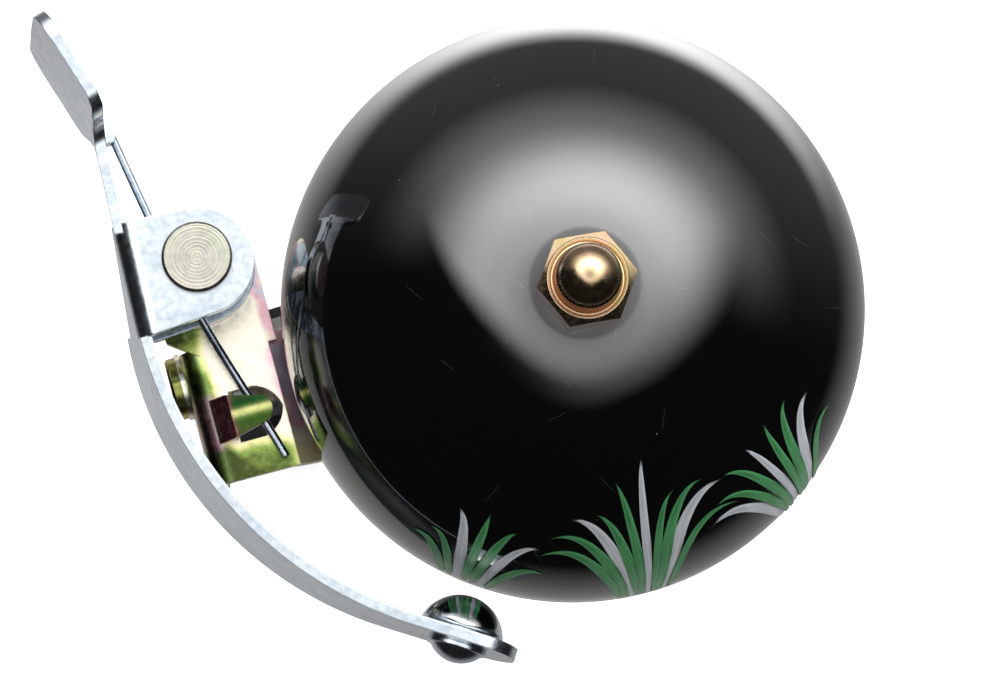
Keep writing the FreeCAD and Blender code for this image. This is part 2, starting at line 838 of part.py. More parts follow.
def ear_outline():
    """Plan of the ears: a round end on the pivot side, straight flanks out to the web."""
    centre = pivot_point() + Vector(dim.ear_shift_x.value, dim.ear_shift_y.value, 0)
    radius = dim.ear_radius.value
    flank = dim.ear_flank.value
    high_angle = dim.ear_high_angle.value
    low_angle = dim.ear_low_angle.value
    high = polar(centre, radius, high_angle, 0)
    low = polar(centre, radius, low_angle, 0)
    front = polar(centre, radius, (high_angle + low_angle - 360) / 2, 0)
    high_far = high - Vector(flank, flank * math.tan(math.radians(high_angle - 90)), 0)
    low_far = low - Vector(flank, flank * math.tan(math.radians(low_angle - 270)), 0)
    sides = Part.makePolygon([low, low_far, high_far, high]).Edges
    return bounded([Part.Arc(high, front, low).toShape()] + sides)


def make_clevis():
    """Channel folded from the sheet: web outside, upper and lower ears round the pivot."""
    turn = FreeCAD.Rotation(Vector(0, 0, 1), dim.web_turn.value)
    near = FreeCAD.Placement(Vector(dim.web_near_x.value, dim.web_near_y.value, 0), turn)
    far = FreeCAD.Placement(Vector(dim.web_far_x.value, dim.web_far_y.value, 0), turn)
    start = clevis_section(near, dim.web_near_flare.value)
    stop = clevis_section(far, dim.web_far_flare.value)
    channel = Part.makeLoft([start, stop], True, True)
    length = (far.Base - near.Base).Length
    web_side = (near.Base.x + far.Base.x) / 2 + dim.fold_radius.value
    folds = [edge for edge in channel.Edges
             if abs(edge.Length - length) < 0.5 and edge.CenterOfMass.x < web_side]
    outer = [edge for edge in folds if on_ear_face(edge)]
    inner = [edge for edge in folds if not on_ear_face(edge)]
    channel = channel.makeFillet(dim.fold_radius.value, outer)
    inner = [edge for edge in channel.Edges if any(same_line(edge, old) for old in inner)]
    channel = channel.makeFillet((dim.fold_radius - dim.lever_sheet).value, inner)
    prism = ear_outline().extrude(Vector(0, 0, dim.lever_high.value + CUT_CLEAR))
    return channel.common(prism)


def on_ear_face(edge):
    """True for an edge in the outer face of the upper or lower ear."""
    z = edge.CenterOfMass.z
    return min(abs(z - dim.lever_low.value), abs(z - dim.lever_high.value)) < 0.01


def same_line(edge, other):
    """True for an edge that is still where the other was before a neighbour was rounded."""
    return (edge.CenterOfMass - other.CenterOfMass).Length < 0.05 and abs(edge.Length - other.Length) < 0.3


def strip_section(foot, head, across):
    """Upright rectangle of sheet from foot to head, thickened along across."""
    step = across * dim.lever_sheet.value
    return wire_of([foot, head, head + step, foot + step])


def unit(degrees):
    """Level direction at an angle from +X."""
    return Vector(math.cos(math.radians(degrees)), math.sin(math.radians(degrees)), 0)


def make_thumb_end():
    """Neck and thumb pad: upright neck, then a wide pad bent outward and leaned a little."""
    middle = (dim.lever_low.value + dim.lever_high.value) / 2
    low = middle - dim.pad_width.value / 2
    high = middle + dim.pad_width.value / 2
    root = Vector(dim.neck_root_x.value, dim.neck_root_y.value, 0)
    neck_end = Vector(dim.neck_end_x.value, dim.neck_end_y.value, 0)
    near = Vector(dim.pad_near_x.value, dim.pad_near_y.value, 0)
    neck_in = unit(dim.neck_in_angle.value)
    pad_dir = unit(dim.pad_angle.value)
    pad_in = unit(dim.pad_angle.value - 90)
    far = near + pad_dir * dim.pad_length.value
    lean = pad_in * dim.pad_lean.value + pad_dir * dim.pad_slant.value
    stations = [
        (root, Vector(), neck_in),
        (neck_end, Vector(), neck_in),
        (near, lean * 0.75, (neck_in + pad_in).normalize()),
        (near + pad_dir * dim.pad_bend_run.value, lean, pad_in),
        (far, lean, pad_in),
    ]
    sections = []
    for foot, tilt, across in stations:
        bottom = foot + Vector(0, 0, low) - tilt
        top = foot + Vector(0, 0, high) + tilt
        sections.append(strip_section(bottom, top, across))
    blank = Part.makeLoft(sections, True, True)
    return blank.common(pad_outline(near, pad_dir, pad_in, low, high))


def pad_outline(near, pad_dir, pad_in, low, high):
    """Elevation of neck and pad, as a prism through the sheet."""
    neck_low = (dim.lever_low + dim.strip_margin).value
    neck_high = (dim.lever_high - dim.strip_margin).value
    corner = dim.pad_corner.value
    fillet = dim.pad_fillet.value
    length = dim.pad_length.value
    foot = -dim.pad_foot.value
    neck_end = -dim.neck_length.value

    def at(along, z):
        return near + pad_dir * along + Vector(0, 0, z)

    def quarter(centre_s, centre_z, radius, start):
        turns = [math.radians(start + step) for step in (0, 45, 90)]
        return [at(centre_s + radius * math.cos(turn), centre_z + radius * math.sin(turn)) for turn in turns]

    arcs = [
        quarter(length - corner, high - corner, corner, 0),
        quarter(foot + corner, high - corner, corner, 90),
        quarter(foot - fillet, neck_high + fillet, fillet, 270)[::-1],
        quarter(foot - fillet, neck_low - fillet, fillet, 0)[::-1],
        quarter(foot + corner, low + corner, corner, 180),
        quarter(length - corner, low + corner, corner, 270),
    ]
    neck_corners = [at(neck_end, neck_high), at(neck_end, neck_low)]
    edges = [Part.Arc(*arc).toShape() for arc in arcs]
    for before, after in ((0, 1), (1, 2), (3, 4), (4, 5), (5, 0)):
        edges.append(Part.makeLine(arcs[before][2], arcs[after][0]))
    edges += Part.makePolygon([arcs[2][2]] + neck_corners + [arcs[3][0]]).Edges
    prism = bounded(edges).extrude(pad_in * length * 2)
    prism.translate(pad_in * -length)
    return prism


def wire_path():
    """Centreline of the spring wire, as steps (x, y) from the pivot axis with a height."""
    pivot = pivot_point()
    steps = [
        (-8.68, 13.15, 4.9),  # end hooked in the neck's lug
        (-4.66, 4.44, 4.9),  # level, between the ears
        (-1.75, -1.42, 4.3),  # past the bush
        (0.53, -5.45, 3.0),  # falling to the plate
        (4.77, -12.1, 0.82),  # under the tongue's near side
        (6.67, -15.05, 0.6),  # under the tongue's far side
        (8.4, -17.85, 0.55),  # free end on the plate
    ]
    return [Vector(pivot.x + x, pivot.y + y, z) for x, y, z in steps]


def make_hook_lug():
    """Small lug on the neck that holds the wire's end, and the drill for the wire."""
    points = wire_path()
    direction = (points[1] - points[0]).normalize()
    depth = dim.lug_root.value + dim.lug_depth.value
    length = dim.lug_length.value
    height = dim.lug_height.value
    lug = Part.makeBox(depth, length, height, Vector(-dim.lug_root.value, -length / 2, -height / 2))
    corners = [edge for edge in lug.Edges
               if edge.BoundBox.ZLength > height / 2 and edge.CenterOfMass.x > dim.lug_depth.value / 2]
    lug = lug.makeFillet(dim.lug_round.value, corners)
    base = Vector(dim.lug_x.value, dim.lug_y.value, dim.lug_z.value)
    lug.Placement = FreeCAD.Placement(base, FreeCAD.Rotation(Vector(0, 0, 1), dim.lug_turn.value))
    drill_start = points[0] - direction * CUT_CLEAR
    drill = Part.makeCylinder(dim.wire_bore.value, length * 2 + CUT_CLEAR, drill_start, direction)
    return lug, drill


def hammer_place(offset):
    """Frame on the hammer's axis: +Z points at the dome, origin offset from the arm's end."""
    along, outward = arm_frame()
    low_centre = Vector(dim.arm_low_x.value, dim.arm_low_y.value, 0)
    high_centre = Vector(dim.arm_high_x.value, dim.arm_high_y.value, 0)
    last = dim.arm_end_angle.value
    low = polar(low_centre, dim.arm_low_radius.value, last, 0).dot(outward)
    high = polar(high_centre, dim.arm_high_radius.value, last, 0).dot(outward)
    face = (low + high) / 2
    lean = (low - high) / (dim.lever_high - dim.lever_low - dim.strip_margin * 2).value
    middle = (dim.lever_low.value + dim.lever_high.value) / 2
    inward = (outward * -1 - Vector(0, 0, lean)).normalize()
    base = along * dim.hammer_along.value + outward * face + Vector(0, 0, middle)
    rotation = FreeCAD.Rotation(Vector(0, 0, 1), inward)
    return FreeCAD.Placement(base + inward * offset, rotation)


def make_lever():
    """The whole stamped lever, fused from its arm, clevis, thumb end and hook lug."""
    lug, wire_drill = make_hook_lug()
    solid = make_arm().fuse([make_clevis(), make_thumb_end(), lug])
    pivot_drill = Part.makeCylinder(dim.rivet_bore.value, dim.lever_high.value + CUT_CLEAR, pivot_point())
    spot = hammer_place(-CUT_CLEAR)
    axis = spot.Rotation.multVec(Vector(0, 0, 1))
    drill_length = dim.lever_sheet.value + CUT_CLEAR * 2
    hammer_drill = Part.makeCylinder(dim.hammer_bore.value, drill_length, spot.Base, axis)
    solid = solid.cut([pivot_drill, hammer_drill, wire_drill]).removeSplitter()
    lever = doc.addObject("Part::Feature", "Lever")
    lever.Shape = solid.Solids[0] if len(solid.Solids) == 1 else solid
    finish(lever, "lever")


def make_hammer():
    """Polished striking button inside the arm and the rivet that holds it from outside."""
    seat = (dim.lever_sheet + dim.hammer_seat_gap).value
    rim_z = dim.hammer_base
    flat = (dim.hammer_ball_radius * dim.hammer_ball_radius - dim.hammer_radius * dim.hammer_radius).root()
    top_z = rim_z + dim.hammer_ball_radius - flat
    bore_z = dim.hammer_bore_depth
    steps = [
        (dim.hammer_radius - dim.hammer_step, 0),
        (dim.hammer_radius, rim_z, dim.hammer_edge_round, 1),
        (0, top_z, dim.hammer_ball_radius, 1),
        (0, bore_z),
        (dim.hammer_bore, bore_z),
        (dim.hammer_bore, 0),
    ]
    turned_part("hammer_button", (dim.hammer_bore, 0), steps, hammer_place(seat))
    head_z = dim.hammer_head_height
    flange = dim.hammer_flange
    length = dim.hammer_tip_gap - dim.lever_sheet - dim.hammer_bore_depth
    head_rise = head_z - flange
    dome_foot = dim.hammer_head_radius - dim.hammer_step
    ball = (dome_foot * dome_foot + head_rise * head_rise) / (2 * head_rise)
    steps = [
        (dim.hammer_shank, length),
        (dim.hammer_shank, 0),
        (dim.hammer_head_radius, 0),
        (dim.hammer_head_radius, flange),
        (dome_foot, flange),
        (0, head_z, ball, 1),
        (0, length),
    ]
    inward = hammer_place(0.0)
    flip = FreeCAD.Rotation(Vector(1, 0, 0), 180)
    outward = FreeCAD.Placement(inward.Base, inward.Rotation.multiply(flip))
    turned_part("hammer_rivet", (0, length), steps, outward)


def make_spring_wire():
    """Round spring wire swept along its gently bent centreline."""
    curve = Part.BSplineCurve()
    curve.interpolate(wire_path())
    spine = Part.Wire(curve.toShape())
    start = wire_path()[0]
    direction = curve.tangent(curve.FirstParameter)[0]
    ring = Part.Wire(Part.Circle(start, direction, dim.wire_radius.value).toShape())
    wire = doc.addObject("Part::Feature", "SpringWire")
    wire.Shape = spine.makePipeShell([ring], True, True)
    finish(wire, "spring_wire")


# ---------------------------------------------------------------- handlebar clamp
def make_clamp_band():
    """Steel band: one upright ear, a loop round the bar, and a second ear facing the first."""
    body = new_body("ClampBand")
    outer = loop_radius
    inner = loop_radius - dim.band_sheet
    near = -outer
    near_in = near + dim.band_sheet
    far_left = near_in + dim.band_gap
    far_right = far_left + dim.band_sheet
    top = dim.bar_depth - dim.ear_top
    outer_join = (outer * outer - far_right * far_right).root()
    inner_join = (inner * inner - far_left * far_left).root()
    steps = [
        (near, 0),
        (0, -outer, outer, 1),
        (outer, 0, outer, 1),
        (0, outer, outer, 1),
        (far_right, outer_join, outer, 1),
        (far_right, top),
        (far_left, top),
        (far_left, inner_join),
        (0, inner, inner, -1),
        (inner, 0, inner, -1),
        (0, -inner, inner, -1),
        (near_in, 0, inner, -1),
        (near_in, top),
        (near, top),
    ]
    add_pad(body, "BandLoop", "XZ_Plane", (near, top), steps, dim.band_width, midplane=True)
    round_edges(body, "EarCorners", dim.corner_round, lambda box: runs_along_u(box, top.value))
    screw_z = dim.bar_depth - dim.clamp_screw_depth
    ears = (dim.band_sheet * 2 + dim.band_gap).value
    add_round_hole(body, "EarHoles", "YZ_Plane", 0, screw_z, dim.clamp_hole,
                   near.value - CUT_CLEAR, ears + CUT_CLEAR * 2)
    finish(body, "clamp_band", bracket_frame(-bar_u.value, dim.clamp_v.value, -dim.bar_depth.value))


def make_rubber_liner():
    """Channel-section rubber liner, open where the band's ears meet."""
    skin = dim.bar_radius + dim.liner_wall - dim.liner_skin_gap
    lip = skin + dim.liner_lip_height
    half = dim.band_width / 2 + dim.liner_side_gap
    end = half + dim.liner_lip
    steps = [
        (lip, -end),
        (lip, -half),
        (skin, -half),
        (skin, half),
        (lip, half),
        (lip, end),
        (dim.bar_radius, end),
        (dim.bar_radius, -end),
    ]
    upright_to_bar = FreeCAD.Rotation(Vector(1, 0, 0), 90)
    first_edge = FreeCAD.Rotation(Vector(0, 0, 1), dim.liner_start.value)
    place = bracket_frame(-bar_u.value, dim.clamp_v.value, -dim.bar_depth.value,
                          upright_to_bar.multiply(first_edge))
    turned_part("rubber_liner", (dim.bar_radius, -end), steps, place, dim.liner_angle.value)


def clamp_place(u, turn_over=False):
    """Frame on the clamp screw's axis with +Z pointing at the dome's axis, or away from it."""
    lay = FreeCAD.Rotation(Vector(0, 1, 0), -90 if turn_over else 90)
    return bracket_frame(-Size.of(u).value, dim.clamp_v.value, -dim.clamp_screw_depth.value, lay)


def make_clamp_fasteners():
    """Low-head screw and washer outside the flange, spring washer and nut inside the ears."""
    face = dim.flange_face
    head_under = face + dim.clamp_washer_height
    nut_face = far_ear - dim.band_sheet
    nut_start = nut_face - dim.clamp_spring_height
    shank = head_under - nut_start + dim.clamp_nut_height + dim.clamp_tail
    head = dim.clamp_head_height
    steps = [
        (dim.clamp_head_radius, 0),
        (dim.clamp_head_radius, -head + dim.edge_break),
        (dim.clamp_head_radius - dim.edge_break, -head),
        (0, -head),
        (0, shank),
        (dim.clamp_thread - dim.clamp_tail_bevel, shank),
        (dim.clamp_thread, shank - dim.clamp_tail_bevel),
        (dim.clamp_thread, 0),
    ]
    turned_part("clamp_screw", (dim.clamp_thread, 0), steps, clamp_place(head_under))
    tube("clamp_washer", dim.clamp_washer_radius, dim.clamp_hole, dim.clamp_washer_height,
         clamp_place(face, turn_over=True))
    split_washer("clamp_spring_washer", dim.clamp_spring_radius, dim.clamp_hole,
                 dim.clamp_spring_height, dim.clamp_spring_slit, clamp_place(nut_face))
    hexagon_nut("clamp_nut", dim.clamp_nut_flats, dim.clamp_nut_height, dim.clamp_thread_bore,
                clamp_place(nut_start))


# ---------------------------------------------------------------- build, check, write
def write_parts():
    """Check every object and shape, then write one STEP file per sub-part."""
    doc.recompute()
    for item in doc.Objects:
        if "Invalid" in item.State or "Error" in item.State:
            raise RuntimeError("%s did not compute: %s" % (item.Name, item.State))
    for node in nodes:
        shape = node.Shape
        if shape.isNull() or not shape.isValid() or len(shape.Solids) != 1:
            raise RuntimeError("%s has no single valid solid" % node.Label)
    os.makedirs("parts", exist_ok=True)
    for node in nodes:
        node.Shape.exportStep("parts/%s.step" % node.Label)
        print("%-22s %9.2f mm3" % (node.Label, node.Shape.Volume))


make_dome()
make_cap_nut()
make_centre_post()
make_post_fasteners()
make_bracket()
make_pivot()
make_lever()
make_hammer()
make_spring_wire()
make_clamp_band()
make_rubber_liner()
make_clamp_fasteners()
write_parts()
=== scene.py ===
"""Looks of the lever-strike bicycle bell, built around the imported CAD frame.

Blender's lengths are metres, in the frame's own axes.  Sizes in this file are written in
millimetres and multiplied by MM where a mesh or a node needs metres.
"""
import json
import math
import random

import bmesh
import bpy
from mathutils import Matrix, Vector


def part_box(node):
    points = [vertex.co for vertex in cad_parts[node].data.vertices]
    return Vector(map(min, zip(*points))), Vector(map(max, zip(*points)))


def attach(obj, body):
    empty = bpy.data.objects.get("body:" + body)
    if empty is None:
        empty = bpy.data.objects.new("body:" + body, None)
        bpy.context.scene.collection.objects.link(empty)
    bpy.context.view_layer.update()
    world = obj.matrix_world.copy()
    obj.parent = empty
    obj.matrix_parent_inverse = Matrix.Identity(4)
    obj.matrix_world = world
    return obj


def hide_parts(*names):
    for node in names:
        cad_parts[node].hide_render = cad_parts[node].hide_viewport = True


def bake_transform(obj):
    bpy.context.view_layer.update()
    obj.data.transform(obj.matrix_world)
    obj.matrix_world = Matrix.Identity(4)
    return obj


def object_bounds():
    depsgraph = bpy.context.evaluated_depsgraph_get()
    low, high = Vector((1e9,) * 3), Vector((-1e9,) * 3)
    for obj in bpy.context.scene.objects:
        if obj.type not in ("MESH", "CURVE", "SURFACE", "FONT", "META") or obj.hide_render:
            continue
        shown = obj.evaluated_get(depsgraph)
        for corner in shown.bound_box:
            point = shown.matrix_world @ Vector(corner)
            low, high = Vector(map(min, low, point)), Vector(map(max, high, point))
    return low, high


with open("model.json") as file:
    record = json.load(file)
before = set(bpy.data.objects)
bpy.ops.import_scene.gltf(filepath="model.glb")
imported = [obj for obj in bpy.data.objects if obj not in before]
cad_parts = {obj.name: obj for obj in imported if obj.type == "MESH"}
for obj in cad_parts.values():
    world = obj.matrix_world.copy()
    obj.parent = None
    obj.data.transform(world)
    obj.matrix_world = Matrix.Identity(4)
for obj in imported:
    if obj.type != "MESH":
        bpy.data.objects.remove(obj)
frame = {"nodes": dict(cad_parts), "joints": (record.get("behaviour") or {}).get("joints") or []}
cad_low, cad_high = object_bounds()
scene = bpy.context.scene
MM = 0.001
BASE = "bell_frame"
dome_low, dome_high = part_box("dome")
home = Vector(((dome_low.x + dome_high.x) / 2, (dome_low.y + dome_high.y) / 2, dome_low.z))


# ---------------------------------------------------------------- node tree shorthand
class Net:
    """Builds a node tree from sockets and plain values."""

    def __init__(self, tree):
        self.tree = tree

    def put(self, socket, value):
        if isinstance(value, bpy.types.NodeSocket):
            self.tree.links.new(value, socket)
        elif isinstance(value, tuple) and len(value) == 3 and socket.type == "RGBA":
            socket.default_value = value + (1.0,)
        elif value is not None:
            socket.default_value = value

    def new(self, kind, **settings):
        node = self.tree.nodes.new(kind)
        for name, value in settings.items():
            setattr(node, name, value)
        return node

    def math(self, kind, a, b=None):
        node = self.new("ShaderNodeMath", operation=kind)
        for socket, value in zip(node.inputs, (a, b)):
            self.put(socket, value)
        return node.outputs[0]

    def add(self, a, b):
        return self.math("ADD", a, b)

    def sub(self, a, b):
        return self.math("SUBTRACT", a, b)

    def mul(self, a, b):
        return self.math("MULTIPLY", a, b)

    def vec(self, kind, a, b=None, scale=None):
        node = self.new("ShaderNodeVectorMath", operation=kind)
        self.put(node.inputs[0], a)
        if b is not None:
            self.put(node.inputs[1], b)
        if scale is not None:
            self.put(node.inputs["Scale"], scale)
        return node.outputs["Value" if kind in ("LENGTH", "DOT_PRODUCT", "DISTANCE") else "Vector"]

    def split(self, vector):
        node = self.new("ShaderNodeSeparateXYZ")
        self.put(node.inputs[0], vector)
        return node.outputs[0], node.outputs[1], node.outputs[2]

    def join(self, x, y, z):
        node = self.new("ShaderNodeCombineXYZ")
        for socket, value in zip(node.inputs, (x, y, z)):
            self.put(socket, value)
        return node.outputs[0]

    def step(self, value, low, high, start=0.0, stop=1.0):
        """Smooth step from start at low to stop at high."""
        node = self.new("ShaderNodeMapRange", interpolation_type="SMOOTHSTEP")
        for socket, number in zip(node.inputs, (value, low, high, start, stop)):
            self.put(socket, number)
        return node.outputs[0]

    def mix(self, share, a, b):
        node = self.new("ShaderNodeMix", data_type="RGBA")
        self.put(node.inputs[0], share)
        self.put(node.inputs[6], a)
        self.put(node.inputs[7], b)
        return node.outputs[2]

    def ramp(self, value, stops, blend="LINEAR"):
        node = self.new("ShaderNodeValToRGB")
        node.color_ramp.interpolation = blend
        self.put(node.inputs[0], value)
        points = node.color_ramp.elements
        for index in (0, -1):
            points[index].position = stops[index][0]
            points[index].color = stops[index][1] + (1.0,)
        for place, colour in stops[1:-1]:
            points.new(place).color = colour + (1.0,)
        return node.outputs[0]

    def grey_ramp(self, value, stops):
        """Smooth ramp of plain grey levels."""
        return self.ramp(value, [(place, (level,) * 3) for place, level in stops], "CARDINAL")

    def noise(self, vector, scale, detail=2.0, rough=0.5, bend=0.0):
        node = self.new("ShaderNodeTexNoise")
        self.put(node.inputs["Vector"], vector)
        node.inputs["Scale"].default_value = scale
        node.inputs["Detail"].default_value = detail
        node.inputs["Roughness"].default_value = rough
        node.inputs["Distortion"].default_value = bend
        return node.outputs[0]

    def cells(self, vector, scale):
        """Voronoi cells: distance from the cell's point, its random colour and its position."""
        node = self.new("ShaderNodeTexVoronoi")
        self.put(node.inputs["Vector"], vector)
        node.inputs["Scale"].default_value = scale
        return node.outputs["Distance"], node.outputs["Color"], node.outputs["Position"]

    def bump(self, height, distance, normal=None):
        node = self.new("ShaderNodeBump")
        node.inputs["Distance"].default_value = distance
        node.inputs["Strength"].default_value = 1.0
        self.put(node.inputs["Height"], height)
        self.put(node.inputs["Normal"], normal)
        return node.outputs[0]

    def rounded(self, radius):
        """Normal with every sharp edge rounded off over a radius."""
        node = self.new("ShaderNodeBevel", samples=4)
        node.inputs["Radius"].default_value = radius
        return node.outputs[0]

    def edge(self, rounded):
        """0 on open faces, rising to 1 where the rounded normal leaves the true one."""
        true = self.new("ShaderNodeNewGeometry").outputs["True Normal"]
        return self.step(self.vec("DOT_PRODUCT", rounded, true), 0.995, 0.85)

    def place_mm(self):
        """Position on the object in millimetres from the middle of the dome's rim."""
        where = self.new("ShaderNodeTexCoord").outputs["Object"]
        return self.vec("SCALE", self.vec("SUBTRACT", where, tuple(home)), scale=1000.0)


def new_material(name):
    material = bpy.data.materials.new(name)
    material.use_nodes = True
    return material, Net(material.node_tree), material.node_tree.nodes["Principled BSDF"]


def fill(net, shader, **inputs):
    """Set Principled inputs by name, with underscores for spaces."""
    for name, value in inputs.items():
        net.put(shader.inputs[name.replace("_", " ")], value)


# ---------------------------------------------------------------- materials
def hair_scratches(net, where, scale, width, length, share):
    """Mask of short straight scratches in the XY plane, one to a cell in a share of the cells."""
    x, y, _ = net.split(where)
    flat = net.join(x, y, 0.0)
    _, colour, centre = net.cells(flat, scale)
    turn, chosen, _ = net.split(colour)
    angle = net.mul(turn, math.tau)
    dx, dy, _ = net.split(net.vec("SUBTRACT", flat, centre))
    cosine = net.math("COSINE", angle)
    sine = net.math("SINE", angle)
    along = net.add(net.mul(dx, cosine), net.mul(dy, sine))
    across = net.sub(net.mul(dy, cosine), net.mul(dx, sine))
    across = net.add(across, net.mul(net.mul(along, along), 0.08))
    line = net.mul(net.step(net.math("ABSOLUTE", across), width, 0.0),
                   net.step(net.math("ABSOLUTE", along), length, length * 0.4))
    return net.mul(line, net.math("GREATER_THAN", chosen, 1.0 - share))


PEEL_DEPTH = 0.0048
ZINC_DEPTH = 0.009
PASSIVATE_DEPTH = 0.010


def enamel():
    """Deep gloss black paint: faint orange peel, dust nibs and hair scratches by the nut."""
    material, net, shader = new_material("black_enamel")
    where = net.place_mm()
    x, y, _ = net.split(where)
    from_axis = net.vec("LENGTH", net.join(x, y, 0.0))
    distance, colour, _ = net.cells(where, 0.55)
    pick, size, _ = net.split(colour)
    nib = net.mul(net.step(distance, net.add(0.03, net.mul(size, 0.05)), 0.0),
                  net.math("GREATER_THAN", pick, 0.62))
    by_nut = net.step(from_axis, 12.0, 5.5)
    scratch = net.add(net.mul(hair_scratches(net, where, 0.45, 0.04, 0.55, 0.28), by_nut),
                      net.mul(hair_scratches(net, where, 0.17, 0.025, 1.2, 0.25), 0.4))
    peel = net.noise(where, 0.9, 2.0, 0.4)
    fine = net.noise(where, 9.0, 3.0, 0.6)
    smear = net.noise(where, 0.16, 3.0, 0.6, 0.6)
    height = net.add(net.add(net.mul(peel, 0.5), net.mul(fine, 0.012)),
                     net.sub(net.mul(nib, 0.6), net.mul(scratch, 0.25)))
    base = net.mix(net.math("MINIMUM", net.add(net.mul(nib, 0.5), net.mul(scratch, 0.35)), 1.0),
                   (0.0012, 0.0012, 0.0014), (0.32, 0.33, 0.35))
    rough = net.add(net.step(smear, 0.35, 0.75, 0.03, 0.075), net.mul(scratch, 0.3))
    fill(net, shader, Base_Color=base, Roughness=rough, IOR=1.9,
         Normal=net.bump(height, PEEL_DEPTH * MM))
    return material


def zinc(name, rough=0.22, tint=(0.63, 0.69, 0.74), deep=(0.50, 0.57, 0.64), edge=0.26,
         grain=1.0):
    """Bright blue-white zinc plate: clouds, drawn grain, specks, dark scratches, rounded edges."""
    material, net, shader = new_material(name)
    where = net.place_mm()
    cloud = net.noise(where, 0.22, 3.0, 0.55, 0.6)
    blotch = net.noise(where, 1.5, 4.0, 0.6)
    x, y, z = net.split(where)
    drawn = net.noise(net.join(net.mul(x, 0.5), net.mul(y, 0.5), net.mul(z, 9.0)), 1.0, 3.0, 0.6)
    speck = net.noise(where, 13.0, 2.0, 0.7)
    normal = net.rounded(edge * MM)
    worn = net.edge(normal)
    patches = net.add(net.mul(cloud, 0.7), net.mul(blotch, 0.3))
    colour = net.mix(net.step(patches, 0.34, 0.66), deep, tint)
    colour = net.mix(net.mul(net.step(drawn, 0.42, 0.66), 0.16), colour, (0.72, 0.77, 0.81))
    colour = net.mix(net.mul(net.step(speck, 0.68, 0.76), 0.4), colour, (0.22, 0.27, 0.33))
    colour = net.mix(net.mul(worn, 0.25), colour, (0.84, 0.88, 0.91))
    scratch = hair_scratches(net, where, 0.24, 0.045, 0.8, 0.4)
    colour = net.mix(net.mul(scratch, 0.7), colour, (0.16, 0.19, 0.23))
    roughness = net.add(net.step(blotch, 0.3, 0.7, rough - 0.04, rough + 0.05),
                        net.mul(worn, -0.04))
    height = net.add(net.mul(drawn, 0.5 * grain),
                     net.add(net.mul(speck, 0.2), net.mul(blotch, 0.35)))
    fill(net, shader, Base_Color=colour, Metallic=1.0, Roughness=roughness,
         Normal=net.bump(height, ZINC_DEPTH * MM, normal))
    return material


CREAM = (0.86, 0.80, 0.66)
STRAW = (0.80, 0.74, 0.36)
GREEN = (0.24, 0.34, 0.08)
OLIVE = (0.055, 0.075, 0.022)
PINK = (0.80, 0.50, 0.56)
LILAC = (0.66, 0.60, 0.72)
BROWN = (0.46, 0.30, 0.18)


def passivated(name, stops, rough=0.26, lead=None, rings=None, edge=0.14, patch=None, dull=None):
    """Yellow-passivated zinc plate: thin colour bands that drift over the surface.

    lead(net, where) gives the band's place from 0 to 1; rings is the axis of turned marks;
    patch(net, where, colour) may tint a part of the piece and dull(net, where) roughen it.
    """
    material, net, shader = new_material(name)
    where = net.place_mm()
    drift = net.noise(where, 0.20, 1.5, 0.5, 0.8)
    blotch = net.noise(where, 1.3, 3.0, 0.6)
    speck = net.noise(where, 9.0, 2.0, 0.7)
    facing = net.new("ShaderNodeLayerWeight").outputs["Facing"]
    band = lead(net, where) if lead else 0.5
    wander = net.add(net.mul(net.sub(drift, 0.5), 0.8), net.mul(net.sub(blotch, 0.5), 0.10))
    band = net.add(band, wander)
    band = net.add(band, net.mul(facing, 0.22))
    normal = net.rounded(edge * MM)
    worn = net.edge(normal)
    colour = net.ramp(band, stops)
    colour = net.mix(net.mul(net.step(speck, 0.64, 0.74), 0.5), colour, BROWN)
    colour = net.mix(net.mul(worn, 0.3), colour, (0.90, 0.86, 0.70))
    if patch:
        colour = patch(net, where, colour)
    height = net.add(net.mul(speck, 0.35), net.mul(blotch, 0.5))
    if rings is not None:
        x, y, _ = net.split(where)
        from_axis = net.vec("SUBTRACT", net.join(x, y, 0.0), (rings[0], rings[1], 0.0))
        radius = net.vec("LENGTH", from_axis)
        marks = net.math("SINE", net.mul(net.add(radius, net.mul(blotch, 0.06)), 19.0))
        coarse = net.noise(net.join(net.mul(radius, 3.1), 0.0, 0.0), 1.0, 3.0, 0.7)
        height = net.add(height, net.add(net.mul(marks, 0.35), net.mul(coarse, 2.2)))
        colour = net.mix(net.mul(net.step(coarse, 0.45, 0.62), 0.3), colour, (0.55, 0.58, 0.38))
    roughness = net.step(blotch, 0.3, 0.7, rough - 0.05, rough + 0.08)
    if dull:
        roughness = net.add(roughness, dull(net, where))
    fill(net, shader, Base_Color=colour, Metallic=1.0, Roughness=roughness,
         Normal=net.bump(height, PASSIVATE_DEPTH * MM, normal))
    return material


def polished():
    """Mirror-polished steel with light handling marks."""
    material, net, shader = new_material("mirror_steel")
    where = net.place_mm()
    haze = net.noise(where, 0.8, 4.0, 0.6)
    fine = net.noise(where, 14.0, 3.0, 0.7)
    colour = net.mix(net.step(haze, 0.35, 0.65), (0.60, 0.64, 0.68), (0.82, 0.84, 0.86))
    fill(net, shader, Base_Color=colour, Metallic=1.0,
         Roughness=net.step(haze, 0.3, 0.8, 0.05, 0.13), Normal=net.bump(fine, 0.0015 * MM))
    return material


def rubber():
    """Matt black rubber with a moulded grain and a little dust."""
    material, net, shader = new_material("moulded_rubber")
    where = net.place_mm()
    grain = net.noise(where, 5.0, 4.0, 0.7)
    dust = net.noise(where, 0.4, 4.0, 0.6)
    colour = net.mix(net.step(dust, 0.4, 0.75), (0.016, 0.016, 0.017), (0.05, 0.048, 0.045))
    fill(net, shader, Base_Color=colour, Roughness=net.step(dust, 0.3, 0.7, 0.5, 0.72),
         Normal=net.bump(grain, 0.05 * MM, net.rounded(0.2 * MM)))
    return material


